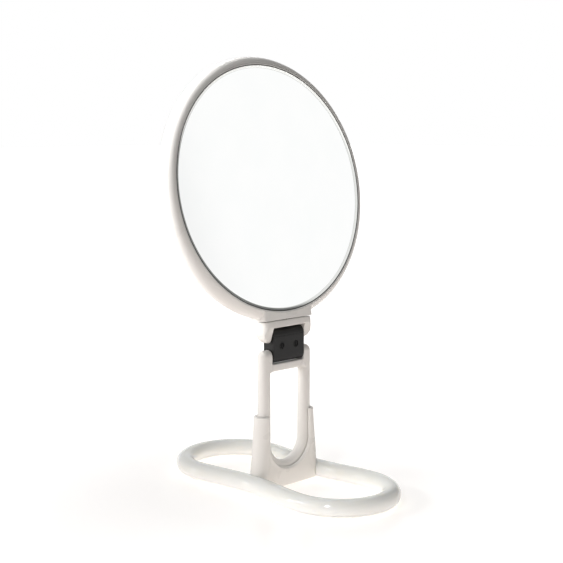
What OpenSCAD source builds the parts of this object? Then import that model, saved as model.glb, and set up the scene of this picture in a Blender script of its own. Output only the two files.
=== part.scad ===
// Double-sided magnifying table mirror: a round head on a two-pivot friction link,
// carried by a loop handle that lifts out of a cradle on an open base ring.
// X runs across the mirror, -Y is the magnifying side, +Z is up, and the feet stand on Z = 0.

/* [Glass] */
// Radius of the glass that shows inside the trim
glass_visible_r = 73.2; // [64:0.2:82]
// Thickness of both mirror glasses
glass_t = 2; // [1.6:0.1:2.2]
// Radius of curvature of the magnifying glass
mirror_curve_r = 850; // [700:10:1400]
// Width of the trim ring that shows round the glass
trim_w = 3; // [2.6:0.1:3.4]
// How far the glass runs in behind its trim ring
glass_tuck = 0.8; // [0.5:0.1:0.9]
// Thickness of the foam rings behind the glasses
foam_t = 1; // [0.8:0.1:1.2]

/* [Head frame] */
// Width of the rounded rim outside the visible glass
rim_w = 7.8; // [7.4:0.1:8.8]
// Depth of the rim from front to back
rim_depth = 13.6; // [13:0.2:15]
// Wall thickness of the moulded shells
shell_t = 1.6; // [1.2:0.1:1.8]
// Thickness of the wall round the glass seat
seat_wall_t = 1.2; // [1:0.1:1.4]
// Lean of the head to the back as it stands
head_tilt = 9.74; // [0:0.01:20]
// Width of the flat neck under the rim
neck_w = 40; // [37:0.5:43]
// Depth of the neck
neck_depth = 13; // [12.4:0.2:13.6]

/* [Swivel] */
// Running gap between the neck and the fork
swivel_gap = 0.3; // [0.2:0.05:0.5]
// Radius of the swivel pin
swivel_pin_r = 2.4; // [2.2:0.1:2.6]
// Radial running clearance of the swivel and hinge pins
pin_clearance = 0.05; // [0.03:0.01:0.08]
// Wall of the bush round the swivel pin
swivel_bush_t = 0.8; // [0.6:0.1:1]

/* [Hinge link] */
// Height of the lower hinge axis
lower_axis_z = 83.3; // [80:0.5:95]
// Distance between the two hinge axes
hinge_pitch = 12.3; // [12:0.1:14]
// Width of the link between the ears
link_w = 26; // [24:0.2:26.6]
// Radius of the link round each hinge axis
barrel_r = 4.3; // [4.1:0.1:4.5]
// Side gap between the link and the ears
link_side_gap = 0.3; // [0.25:0.05:0.4]
// Gap between the link and the bars that it turns past
link_bar_gap = 0.4; // [0.3:0.05:0.6]
// Radius of the hinge pins
hinge_pin_r = 1.5; // [1.3:0.1:1.6]
// Wall of the friction sleeves
sleeve_t = 1.25; // [1:0.05:1.3]
// Distance between the two link screws
link_screw_pitch = 12; // [10:0.5:14]

/* [Handle] */
// Radius of the handle rod
rod_r = 4; // [3.8:0.1:4.2]
// Distance from the middle of the handle to each leg axis
leg_x = 17.1; // [16.6:0.1:18]
// Height of the underside of the handle loop
handle_low_z = 8.9; // [8:0.1:11]
// Height of the bar that joins the legs under the link
crossbar_h = 4.8; // [4:0.2:6]

/* [Fork] */
// Depth of the fork where it meets the neck
fork_depth = 13.2; // [12.6:0.2:14]
// Thickness of the fork bridge that the swivel passes
bridge_t = 3.7; // [3.6:0.1:4.6]
// Room from the hinge axis up to the bridge
bridge_room = 5.2; // [4.9:0.1:6]
// Radius of the fork's ear tips round the hinge axis
ear_tip_r = 4; // [3.8:0.1:4.2]

/* [Cradle] */
// Height of the prong tops
cradle_top_z = 47; // [40:0.5:52]
// Height of the cradle's underside
cradle_low_z = 2.2; // [2:0.1:3]
// Running gap between the handle and its channel
channel_gap = 0.3; // [0.25:0.05:0.4]
// Radius of the cradle round a leg at the prong tops
prong_top_r = 6; // [5.8:0.1:6.3]
// Radius of the leaning prongs at the floor
prong_low_r = 6.4; // [6.1:0.1:6.8]
// Distance from the middle to the leaning prong axis at the floor
prong_low_x = 20.8; // [20:0.1:21.4]
// Radius of the raised sleeve that follows the handle round its channel
sleeve_bead_r = 6.2; // [6:0.1:6.6]
// Half depth of the front and back walls at their waist
wall_waist = 5.4; // [5.2:0.1:5.8]
// Radius of the hollow sweep of the walls from waist to floor
wall_sweep_r = 220; // [180:10:300]
// Half width of the U-shaped cut-out
cutout_r = 16.7; // [16:0.1:17.6]
// Width of the bevel along the cut-out
cutout_bevel = 1.2; // [0.8:0.1:1.6]

/* [Base ring] */
// Distance from the middle to the middle line of a long side
ring_half_w = 29.25; // [28:0.25:31]
// Distance from the middle to the middle line of a short end
ring_half_len = 79; // [70:0.5:90]
// Radius of the tube's middle line round the corners
ring_corner_r = 25; // [20:0.5:27]
// Width of the tube
tube_w = 9; // [8.6:0.1:9.4]
// Height of the tube's top
tube_top_z = 12.2; // [12:0.1:13]
// Gap between the tube and the floor
tube_low_z = 0.8; // [0.6:0.1:1]
// Wall thickness of the tube
tube_wall = 1.8; // [1.4:0.1:2]
// Height of the joint line between the tube and its bottom cover
cover_split_z = 3; // [2.8:0.1:3.4]
// Radius of the rubber feet
foot_r = 2.6; // [2.2:0.1:2.8]

/* [Hidden] */

$fn = 96;
eps = 0.01;
// Gap of parts that are pressed or laid together in one moulding
seat_gap = 0.05;
big = 400;

shell_white = [0.93, 0.92, 0.89];
steel_grey = [0.62, 0.62, 0.60];
glass_silver = [0.90, 0.93, 0.94];
soft_black = [0.14, 0.14, 0.14];
clear_rubber = [0.86, 0.86, 0.84];
foam_grey = [0.45, 0.45, 0.46];
brass = [0.76, 0.63, 0.38];

// Head, measured from the middle of the frame
frame_r = glass_visible_r + rim_w;
rim_section_r = rim_depth / 2;
rim_mid_r = frame_r - rim_section_r;
seat_r = glass_visible_r + trim_w;
rim_lip_z = sqrt(pow(rim_section_r, 2) - pow(seat_r - rim_mid_r, 2));
glass_r = glass_visible_r + glass_tuck;
trim_lip_t = 1;
trim_bead_w = 0.9;
trim_groove_w = 0.6;
trim_groove_d = 0.6;
trim_edge_t = 0.35;
glass_edge_z = rim_lip_z - trim_lip_t;
glass_back_z = glass_edge_z - glass_t;
carrier_z = glass_back_z - foam_t;
foam_w = 3;
foam_r = glass_r - 0.2;
carrier_rim_w = 5;
carrier_web_t = 0.9;
carrier_ribs = 12;
mirror_dip = mirror_curve_r - sqrt(pow(mirror_curve_r, 2) - pow(glass_r, 2));
// The bent glass's back is lower than its edge at the foam's inner radius by this much
foam_dip = (pow(glass_r, 2) - pow(foam_r - foam_w, 2)) / (2 * mirror_curve_r);
tongue_t = 0.7;
tongue_h = 1.2;

// Head, measured from the upper hinge axis along the neck
upper_axis_z = lower_axis_z + hinge_pitch;
bridge_top = bridge_room + bridge_t;
neck_low = bridge_top + swivel_gap;
rim_cut = 0.8;
head_centre = neck_low - rim_cut + frame_r;
neck_corner_r = 1.2;
flange_r = 3.9;
flange_t = 1.4;
flange_half_flat = 3.1;
neck_floor_t = 1.6;
flange_low = neck_low + neck_floor_t;
washer_t = 0.5;
swivel_recess_r = 4.3;
swivel_recess_h = 2.1;
swivel_floor = bridge_room + swivel_recess_h;
swivel_screw_r = 1.25;
swivel_head_r = 2.2;
swivel_head_t = 1;
neck_screw_in = 6;
neck_screw_x = neck_w / 2 - neck_screw_in;
neck_screw_up = neck_low + 2.5;

// Small cross-head screws
screw_r = 1;
screw_head_r = 1.9;
screw_head_t = 1.1;
screw_sink = 0.15;

// Link and handle
ear_in = link_w / 2 + link_side_gap;
sleeve_r = hinge_pin_r + pin_clearance + sleeve_t;
sleeve_half = link_w / 2 - 1.2;
blind_wall = 1.6;
fork_half_w = neck_w / 2;
fork_corner_r = 4;
handle_half_w = leg_x + rod_r;
bend_z = handle_low_z + leg_x + rod_r;
crossbar_top = lower_axis_z - barrel_r - link_bar_gap;
crossbar_low = crossbar_top - crossbar_h;
ear_round_r = 6;
link_groove = 0.3;

// Base
tube_r = tube_w / 2;
cavity_r = tube_r - tube_wall;
tube_high_c = tube_top_z - tube_r;
tube_low_c = tube_low_z + tube_r;
corner_x = ring_half_w - ring_corner_r;
corner_y = ring_half_len - ring_corner_r;
cover_rib_h = 0.8;
lug_half_y = 3.4;
lug_h = 4.2;
lug_tip_x = ring_half_w + cavity_r - 0.4;
lug_low_z = cover_split_z + cover_rib_h + 0.1;
base_screw_y = 34;
base_screw_len = 6;
cradle_screw_len = 6.4;
base_screw_head_t = 1.2;
base_screw_sink = 0.2;
foot_y = 47;
foot_recess = 0.7;
prong_lean = atan2(prong_low_x - leg_x, cradle_top_z);
wall_waist_z = bend_z;

module at_head() {
    translate([0, 0, upper_axis_z]) rotate([-head_tilt, 0, 0]) children();
}

// Middle of the frame, with +Z out of the magnifying side and +Y up the head
module at_frame() {
    at_head() translate([0, 0, head_centre]) rotate([90, 0, 0]) children();
}

module at_frame_rear() {
    at_frame() mirror([0, 0, 1]) children();
}

module ring_2d(outer, inner) {
    difference() {
        circle(r = outer);
        circle(r = inner);
    }
}

module tube(outer, inner, h) {
    difference() {
        cylinder(r = outer, h = h);
        translate([0, 0, -eps]) cylinder(r = inner, h = h + 2 * eps);
    }
}

// Bar of round-cornered section, standing on Z = 0
module round_bar(w, d, r, h) {
    linear_extrude(h) union() {
        square([w - 2 * r, d], center = true);
        square([w, d - 2 * r], center = true);
        for (sx = [-1, 1], sy = [-1, 1])
            translate([sx * (w / 2 - r), sy * (d / 2 - r)]) circle(r = r);
    }
}

// Rod along X, centred
module x_rod(r, w) {
    rotate([0, 90, 0]) cylinder(r = r, h = w, center = true);
}

// Cross-head screw with its head's top at Z = 0 and its point down
module screw(r, head_r, head_t, length) {
    difference() {
        union() {
            translate([0, 0, -head_t]) cylinder(r = head_r, h = head_t);
            translate([0, 0, -length]) cylinder(r = r, h = length);
        }
        for (turn = [0, 90])
            rotate([0, 0, turn]) translate([-head_r * 0.6, -0.2, -head_t * 0.5])
                cube([head_r * 1.2, 0.4, head_t]);
    }
}

// Head frame

module rim_section() {
    intersection() {
        union() {
            translate([rim_mid_r, 0]) ring_2d(rim_section_r, rim_section_r - shell_t);
            intersection() {
                translate([rim_mid_r, 0]) circle(r = rim_section_r);
                translate([seat_r, 0]) square([seat_wall_t, rim_section_r]);
            }
        }
        translate([seat_r, 0]) square([rim_w + 1, rim_section_r + 1]);
    }
}

// Flat-faced neck from the middle plane to one face, cut to the glass seat
module neck_block() {
    neck_h = 9;
    difference() {
        translate([0, neck_low - head_centre, 0]) intersection() {
            rotate([-90, 0, 0]) round_bar(neck_w, neck_depth, neck_corner_r, neck_h);
            translate([-neck_w, -1, 0]) cube([2 * neck_w, neck_h + 2, neck_depth]);
        }
        translate([0, 0, -1]) cylinder(r = seat_r, h = neck_depth + 2);
        translate([0, 0, -1]) linear_extrude(rim_section_r + 2) difference() {
            translate([-neck_w, -frame_r]) square([2 * neck_w, frame_r]);
            circle(r = frame_r + 4);
        }
    }
}

// Pocket that grips the flange and passes the shank of the swivel pin
module swivel_pocket() {
    translate([0, -head_centre, 0]) rotate([-90, 0, 0]) {
        translate([0, 0, flange_low]) intersection() {
            cylinder(r = flange_r + seat_gap, h = flange_t + seat_gap);
            translate([-neck_w, -flange_half_flat - seat_gap, 0])
                cube([2 * neck_w, 2 * (flange_half_flat + seat_gap), flange_t + 1]);
        }
        translate([0, 0, neck_low - 1]) cylinder(r = swivel_pin_r + seat_gap, h = flange_t + 2);
    }
}

module frame_half() {
    difference() {
        union() {
            intersection() {
                rotate_extrude() rim_section();
                translate([-big / 2, neck_low - head_centre, -1]) cube([big, big, rim_depth]);
            }
            neck_block();
        }
        swivel_pocket();
    }
}

module neck_screw_places() {
    for (side = [-1, 1])
        translate([side * neck_screw_x, neck_screw_up - head_centre, 0]) children();
}

module frame_front() {
    color(shell_white) at_frame() difference() {
        union() {
            frame_half();
            translate([0, 0, -tongue_h]) difference() {
                tube(rim_mid_r + rim_section_r - shell_t + tongue_t,
                     rim_mid_r + rim_section_r - shell_t, tongue_h + eps);
                translate([-neck_w / 2, -frame_r - 1, -1]) cube([neck_w, frame_r, tongue_h + 2]);
            }
        }
        neck_screw_places() translate([0, 0, -1])
            cylinder(r = screw_r + seat_gap, h = neck_depth / 2 - 1);
    }
}

module frame_rear() {
    color(shell_white) at_frame_rear() difference() {
        frame_half();
        translate([0, 0, -1]) difference() {
            tube(rim_mid_r + rim_section_r - shell_t + tongue_t + seat_gap,
                 rim_mid_r + rim_section_r - shell_t - 1, tongue_h + 1 + seat_gap);
            translate([-neck_w / 2, -frame_r - 1, -1]) cube([neck_w, frame_r, tongue_h + 3]);
        }
        neck_screw_places() {
            translate([0, 0, -1]) cylinder(r = screw_r + 0.15, h = neck_depth);
            translate([0, 0, neck_depth / 2 - screw_head_t - screw_sink])
                cylinder(r = screw_head_r + 0.1, h = neck_depth);
        }
    }
}

module neck_screws() {
    color(steel_grey) at_frame_rear() neck_screw_places()
        translate([0, 0, neck_depth / 2 - screw_sink])
            screw(screw_r, screw_head_r, screw_head_t, neck_depth - 2.6);
}

// A bead outside, a groove that reads as a thin line, and a lip that slopes in to the glass
module trim_ring() {
    outer_r = seat_r - seat_gap;
    groove_r = seat_r - trim_bead_w;
    rotate_extrude() polygon([
        [glass_visible_r, glass_edge_z], [glass_r + seat_gap, glass_edge_z],
        [glass_r + seat_gap, glass_back_z], [outer_r, glass_back_z], [outer_r, rim_lip_z],
        [groove_r, rim_lip_z], [groove_r, rim_lip_z - trim_groove_d],
        [groove_r - trim_groove_w, rim_lip_z - trim_groove_d],
        [groove_r - trim_groove_w, rim_lip_z - 0.2],
        [glass_visible_r, glass_edge_z + trim_edge_t]
    ]);
}

module front_trim_ring() {
    color(steel_grey) at_frame() trim_ring();
}

module rear_trim_ring() {
    color(steel_grey) at_frame_rear() trim_ring();
}

// Bent glass of even thickness: its edge lies at glass_edge_z and its middle is lower
module magnifying_mirror() {
    sphere_z = glass_edge_z + mirror_curve_r - mirror_dip;
    color(glass_silver) at_frame() rotate_extrude() intersection() {
        translate([0, sphere_z])
            ring_2d(mirror_curve_r + glass_t, mirror_curve_r, $fn = 720);
        translate([0, glass_back_z - mirror_dip - 1])
            square([glass_r, glass_t + mirror_dip + 2]);
    }
}

module plain_mirror() {
    color(glass_silver) at_frame_rear() translate([0, 0, glass_back_z])
        cylinder(r = glass_r, h = glass_t);
}

// Notched round the swivel pin's flange at the bottom
module mirror_carrier() {
    rib_top = glass_back_z - mirror_dip - 0.5;
    hub_r = 12;
    rib_w = 1.6;
    rib_h = rib_top + carrier_z - carrier_web_t;
    inner_r = seat_r - 0.4 - carrier_rim_w;
    color(soft_black) at_frame() difference() {
        union() {
            translate([0, 0, -carrier_z])
                tube(seat_r - 0.4, inner_r, 2 * carrier_z);
            translate([0, 0, -carrier_z]) cylinder(r = inner_r + 1, h = carrier_web_t);
            translate([0, 0, -carrier_z]) cylinder(r = hub_r, h = carrier_web_t + rib_h);
            for (turn = [0 : 360 / carrier_ribs : 359])
                rotate([0, 0, turn]) translate([hub_r - 1, -rib_w / 2, -carrier_z])
                    cube([inner_r - hub_r + 2, rib_w, carrier_web_t + rib_h]);
        }
        translate([-flange_r - 1, -seat_r - 1, -carrier_z - 1])
            cube([2 * flange_r + 2, 2.5, 2 * carrier_z + 2]);
    }
}

module foam_ring(h) {
    translate([0, 0, carrier_z]) tube(foam_r, foam_r - foam_w, h);
}

module front_foam_ring() {
    color(foam_grey) at_frame() foam_ring(foam_t - seat_gap - foam_dip);
}

module rear_foam_ring() {
    color(foam_grey) at_frame_rear() foam_ring(foam_t - seat_gap);
}

// Swivel

module swivel_pin() {
    color(brass) at_head() difference() {
        union() {
            translate([0, 0, flange_low]) intersection() {
                cylinder(r = flange_r, h = flange_t);
                translate([-neck_w, -flange_half_flat, 0])
                    cube([2 * neck_w, 2 * flange_half_flat, flange_t]);
            }
            translate([0, 0, swivel_floor - 0.2])
                cylinder(r = swivel_pin_r, h = flange_low - swivel_floor + 0.2 + eps);
        }
        translate([0, 0, swivel_floor - 1])
            cylinder(r = swivel_screw_r + seat_gap, h = flange_low - swivel_floor + 1.2);
    }
}

module swivel_washer() {
    color(steel_grey) at_head() translate([0, 0, swivel_floor - 0.2 - washer_t])
        tube(swivel_recess_r - 0.4, swivel_screw_r + 0.1, washer_t);
}

module swivel_screw() {
    color(steel_grey) at_head() translate([0, 0, swivel_floor - 0.2 - washer_t - swivel_head_t])
        mirror([0, 0, 1])
            screw(swivel_screw_r, swivel_head_r, swivel_head_t, swivel_head_t + washer_t + 3);
}

// Fork

// Side view: the flanks run from the bridge to touch the round ear tip
module fork_profile() {
    half_d = fork_depth / 2;
    touch = atan2(bridge_room, half_d) - acos(ear_tip_r / norm([half_d, bridge_room]));
    touch_y = ear_tip_r * cos(touch);
    touch_z = ear_tip_r * sin(touch);
    circle(r = ear_tip_r);
    polygon([
        [touch_y, touch_z], [half_d, bridge_room], [half_d, bridge_top],
        [-half_d, bridge_top], [-half_d, bridge_room], [-touch_y, touch_z]
    ]);
}

// Front view of the outside: the tips lie on Y = 0 and are rounded at the corners
module fork_front() {
    translate([-fork_half_w, ear_round_r]) square([neck_w, neck_w]);
    translate([ear_round_r - fork_half_w, 0]) square([neck_w - 2 * ear_round_r, ear_round_r + 1]);
    for (side = [-1, 1])
        translate([side * (fork_half_w - ear_round_r), ear_round_r]) circle(r = ear_round_r);
}

module head_fork() {
    color(shell_white) at_head() difference() {
        intersection() {
            rotate([90, 0, 90]) linear_extrude(neck_w, center = true) fork_profile();
            translate([0, 0, -ear_tip_r]) rotate([90, 0, 0])
                linear_extrude(2 * fork_depth, center = true) fork_front();
            translate([0, 0, -ear_tip_r - 1])
                round_bar(neck_w, fork_depth, fork_corner_r, bridge_top + ear_tip_r + 1);
        }
        translate([-ear_in, -fork_depth, -ear_tip_r - 1])
            cube([2 * ear_in, 2 * fork_depth, bridge_room + ear_tip_r + 1]);
        translate([blind_wall - fork_half_w, 0, 0]) rotate([0, 90, 0])
            cylinder(r = hinge_pin_r + seat_gap / 2, h = neck_w);
        cylinder(r = swivel_pin_r + pin_clearance + swivel_bush_t + seat_gap / 2, h = big);
        cylinder(r = swivel_recess_r, h = swivel_floor);
    }
}

module swivel_bush() {
    color(soft_black) at_head() translate([0, 0, swivel_floor])
        tube(swivel_pin_r + pin_clearance + swivel_bush_t, swivel_pin_r + pin_clearance,
             bridge_top - swivel_floor);
}

module hinge_pin(half_w) {
    pin_short = 0.6;
    translate([blind_wall + seat_gap - half_w, 0, 0]) rotate([0, 90, 0])
        cylinder(r = hinge_pin_r, h = 2 * half_w - blind_wall - seat_gap - pin_short);
}

module upper_hinge_pin() {
    color(steel_grey) at_head() hinge_pin(fork_half_w);
}

// Link, standing between the two hinge axes

module link_outline() {
    for (up = [0, hinge_pitch]) translate([0, up]) circle(r = barrel_r);
    translate([-barrel_r, 0]) square([2 * barrel_r, hinge_pitch]);
}

module link_half(side) {
    difference() {
        rotate([90, 0, 90]) linear_extrude(link_w, center = true) intersection() {
            link_outline();
            translate([side < 0 ? -barrel_r - 1 : 0, -barrel_r - 1])
                square([barrel_r + 1, hinge_pitch + 2 * barrel_r + 2]);
        }
        for (up = [0, hinge_pitch]) translate([0, 0, up]) {
            x_rod(sleeve_r + seat_gap, 2 * sleeve_half + 0.2);
            x_rod(hinge_pin_r + 2 * pin_clearance, link_w + 2);
        }
    }
}

module link_screw_places() {
    for (side = [-1, 1])
        translate([side * link_screw_pitch / 2, 0, hinge_pitch / 2]) rotate([90, 0, 0]) children();
}

module link_front() {
    color(soft_black) translate([0, 0, lower_axis_z]) difference() {
        link_half(-1);
        link_screw_places() {
            translate([0, 0, -1]) cylinder(r = screw_r + 0.15, h = 2 * barrel_r);
            translate([0, 0, barrel_r - screw_head_t - screw_sink])
                cylinder(r = screw_head_r + 0.1, h = 2 * barrel_r);
        }
        translate([-link_w, -barrel_r - 1, hinge_pitch - link_groove])
            cube([2 * link_w, 1 + link_groove, link_groove]);
    }
}

module link_rear() {
    color(soft_black) translate([0, 0, lower_axis_z]) difference() {
        link_half(1);
        link_screw_places() translate([0, 0, 1.2 - barrel_r])
            cylinder(r = screw_r + seat_gap, h = barrel_r);
    }
}

module link_screws() {
    color(steel_grey) translate([0, 0, lower_axis_z]) link_screw_places()
        translate([0, 0, barrel_r - screw_sink])
            screw(screw_r, screw_head_r, screw_head_t, 2 * barrel_r - 1.8);
}

module friction_sleeve() {
    rotate([0, 90, 0]) translate([0, 0, -sleeve_half])
        tube(sleeve_r, hinge_pin_r + pin_clearance, 2 * sleeve_half);
}

module upper_friction_sleeve() {
    color(foam_grey) translate([0, 0, upper_axis_z]) friction_sleeve();
}

module lower_friction_sleeve() {
    color(foam_grey) translate([0, 0, lower_axis_z]) friction_sleeve();
}

// Handle

// Rod bent to the half circle at the foot of the loop, with its middle at bend_z
module foot_bend(r) {
    translate([0, 0, bend_z]) rotate([90, 0, 0]) rotate([0, 0, 180])
        rotate_extrude(angle = 180) translate([leg_x, 0]) circle(r = r);
}

module crossbar() {
    bar_half_d = rod_r - 0.3;
    edge_r = 1.5;
    rotate([90, 0, 90]) linear_extrude(2 * leg_x, center = true) {
        translate([-bar_half_d, crossbar_low + edge_r])
            square([2 * bar_half_d, crossbar_h - edge_r]);
        translate([-bar_half_d + edge_r, crossbar_low])
            square([2 * (bar_half_d - edge_r), edge_r + eps]);
        for (side = [-1, 1])
            translate([side * (bar_half_d - edge_r), crossbar_low + edge_r]) circle(r = edge_r);
    }
}

// Leg end: a dome outside, and a flat-sided tongue that reaches in to the link
module handle_ear() {
    translate([leg_x, 0, bend_z]) rotate_extrude() {
        square([rod_r, lower_axis_z - bend_z]);
        translate([0, lower_axis_z - bend_z]) intersection() {
            circle(r = rod_r);
            square(rod_r);
        }
    }
    translate([ear_in, 0, lower_axis_z]) rotate([90, 0, 90]) linear_extrude(leg_x - ear_in) {
        circle(r = rod_r);
        translate([-rod_r, crossbar_low - lower_axis_z])
            square([2 * rod_r, lower_axis_z - crossbar_low]);
    }
}

module handle_loop() {
    color(shell_white) difference() {
        union() {
            foot_bend(rod_r);
            crossbar();
            for (side = [0, 1]) mirror([side, 0, 0]) handle_ear();
        }
        translate([-ear_in, -2 * rod_r, crossbar_top]) cube([2 * ear_in, 4 * rod_r, big]);
        translate([blind_wall - handle_half_w, 0, lower_axis_z]) rotate([0, 90, 0])
            cylinder(r = hinge_pin_r + seat_gap / 2, h = 2 * handle_half_w);
    }
}

module lower_hinge_pin() {
    color(steel_grey) translate([0, 0, lower_axis_z]) hinge_pin(handle_half_w);
}

// Cradle

module prong_cone() {
    cone_h = cradle_top_z / cos(prong_lean) + 4;
    run = (prong_low_r - prong_top_r) / (cradle_top_z / cos(prong_lean));
    translate([prong_low_x, 0, 0]) rotate([0, -prong_lean, 0])
        cylinder(r1 = prong_low_r, r2 = prong_low_r - run * cone_h, h = cone_h);
}

// Front and back walls between the two prongs, swept out towards the floor
module cradle_walls() {
    rotate([90, 0, 0]) linear_extrude(4 * prong_low_r, center = true) polygon([
        [-prong_low_x, 0], [prong_low_x, 0], [leg_x, cradle_top_z], [-leg_x, cradle_top_z]
    ]);
}

module wall_sweeps() {
    for (side = [-1, 1])
        translate([0, side * (wall_waist + wall_sweep_r), wall_waist_z])
            x_rod(wall_sweep_r, 3 * prong_low_x, $fn = 720);
}

// Half of the cut-out's outline: straight through the wall, bevelled at each face
module cutout_edge(reach) {
    straight = prong_top_r - cutout_bevel;
    polygon([
        [0, -straight - reach], [cutout_r + reach, -straight - reach], [cutout_r, -straight],
        [cutout_r, straight], [cutout_r + reach, straight + reach], [0, straight + reach]
    ]);
}

module cradle_cutout() {
    reach = 4;
    translate([0, 0, bend_z]) {
        rotate([90, 0, 0]) rotate_extrude() cutout_edge(reach);
        linear_extrude(big) for (side = [0, 1]) mirror([side, 0]) cutout_edge(reach);
    }
}

// The handle's lower half thickened to radius r, running straight up past the bend
module handle_path(r, top) {
    foot_bend(r);
    for (side = [-1, 1])
        translate([side * leg_x, 0, bend_z]) cylinder(r = r, h = top - bend_z);
}

module cradle_underside() {
    core_top = handle_low_z - channel_gap - 2;
    core_half_d = wall_waist - 1;
    rib_half = 0.8;
    cell_pitch = 7.4;
    for (side = [0, 1], cell = [0, 1]) mirror([side, 0, 0])
        translate([rib_half + cell * cell_pitch, -core_half_d, cradle_low_z - 1])
            cube([cell_pitch - 2 * rib_half, 2 * core_half_d, core_top - cradle_low_z + 1]);
}

module tube_outline(grow) {
    for (up = [tube_low_c, tube_high_c]) translate([0, up]) circle(r = tube_r + grow);
    translate([-tube_r - grow, tube_low_c])
        square([2 * (tube_r + grow), tube_high_c - tube_low_c]);
}

module cradle() {
    color(shell_white) difference() {
        union() {
            difference() {
                intersection() {
                    union() {
                        difference() {
                            cradle_walls();
                            wall_sweeps();
                        }
                        for (side = [0, 1]) mirror([side, 0, 0]) prong_cone();
                        handle_path(sleeve_bead_r, cradle_top_z);
                    }
                    translate([-big / 2, -big / 2, cradle_low_z])
                        cube([big, big, cradle_top_z - cradle_low_z]);
                }
                for (side = [-1, 1]) translate([side * ring_half_w, 0, 0])
                    rotate([90, 0, 0]) linear_extrude(big, center = true) union() {
                        tube_outline(seat_gap);
                        translate([0, -1]) square([tube_w, 2 * tube_low_c], center = true);
                    }
                cradle_cutout();
                handle_path(rod_r + channel_gap, big);
                cradle_underside();
            }
            for (side = [0, 1]) mirror([side, 0, 0])
                translate([prong_low_x, -lug_half_y, lug_low_z])
                    cube([lug_tip_x - prong_low_x, 2 * lug_half_y, lug_h]);
        }
        for (side = [-1, 1]) translate([side * ring_half_w, 0, 0])
            cylinder(r = screw_r + seat_gap, h = tube_top_z);
    }
}

// Base ring

// Sweeps a section, drawn with its middle at X = 0, round the ring's middle line
module round_ring() {
    for (side = [-1, 1]) translate([side * ring_half_w, 0, 0])
        rotate([90, 0, 0]) linear_extrude(2 * corner_y, center = true) children();
    for (side = [-1, 1]) translate([0, side * ring_half_len, 0])
        rotate([90, 0, 90]) linear_extrude(2 * corner_x, center = true) children();
    for (sx = [0, 1], sy = [0, 1]) mirror([sx, 0, 0]) mirror([0, sy, 0])
        translate([corner_x, corner_y, 0])
            rotate_extrude(angle = 90) translate([ring_corner_r, 0]) children();
}

module shell_section() {
    intersection() {
        difference() {
            tube_outline(0);
            translate([0, tube_high_c]) circle(r = cavity_r);
            translate([-cavity_r, 0]) square([2 * cavity_r, tube_high_c]);
        }
        translate([-tube_w, cover_split_z]) square([2 * tube_w, tube_top_z]);
    }
}

module cover_section() {
    rib_w = cavity_r - 0.1;
    intersection() {
        tube_outline(0);
        translate([-tube_w, 0]) square([2 * tube_w, cover_split_z]);
    }
    translate([-rib_w, cover_split_z - 0.5]) square([2 * rib_w, cover_rib_h + 0.5]);
}

module base_screw_places() {
    for (sx = [-1, 1], sy = [-1, 1])
        translate([sx * ring_half_w, sy * base_screw_y, 0]) children();
}

module cradle_screw_places() {
    for (sx = [-1, 1]) translate([sx * ring_half_w, 0, 0]) children();
}

module foot_places() {
    for (sx = [-1, 1], sy = [-1, 1])
        translate([sx * ring_half_w, sy * foot_y, 0]) children();
}

module base_ring() {
    boss_r = cavity_r + 0.2;
    color(shell_white) difference() {
        union() {
            round_ring() shell_section();
            base_screw_places() translate([0, 0, cover_split_z + 1])
                cylinder(r = boss_r, h = tube_high_c - cover_split_z);
        }
        base_screw_places() cylinder(r = screw_r + seat_gap, h = tube_high_c);
        for (side = [0, 1]) mirror([side, 0, 0])
            translate([ring_half_w - tube_w, -lug_half_y - 0.1, 0])
                cube([tube_w, 2 * lug_half_y + 0.2, lug_low_z + lug_h + 0.1]);
    }
}

module screw_way() {
    cylinder(r = screw_r + 0.15, h = tube_top_z);
    cylinder(r = screw_head_r + 0.15, h = tube_low_z + base_screw_sink + base_screw_head_t);
}

module base_bottom_cover() {
    color(shell_white) difference() {
        round_ring() cover_section();
        base_screw_places() screw_way();
        cradle_screw_places() screw_way();
        foot_places() cylinder(r = foot_r + 0.1, h = tube_low_z + foot_recess);
    }
}

module up_screw(length) {
    translate([0, 0, tube_low_z + base_screw_sink]) mirror([0, 0, 1])
        screw(screw_r, screw_head_r, base_screw_head_t, length);
}

module base_screws() {
    color(steel_grey) base_screw_places() up_screw(base_screw_len);
}

module cradle_screws() {
    color(steel_grey) cradle_screw_places() up_screw(cradle_screw_len);
}

module rubber_feet() {
    color(clear_rubber) foot_places() cylinder(r = foot_r, h = tube_low_z + foot_recess);
}

frame_front();
frame_rear();
front_trim_ring();
rear_trim_ring();
magnifying_mirror();
plain_mirror();
mirror_carrier();
front_foam_ring();
rear_foam_ring();
neck_screws();
swivel_pin();
swivel_washer();
swivel_screw();
head_fork();
swivel_bush();
upper_hinge_pin();
link_front();
link_rear();
link_screws();
upper_friction_sleeve();
lower_friction_sleeve();
handle_loop();
lower_hinge_pin();
cradle();
cradle_screws();
base_ring();
base_bottom_cover();
base_screws();
rubber_feet();
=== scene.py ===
import math

import bmesh
import bpy
from mathutils import Matrix, Vector


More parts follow.
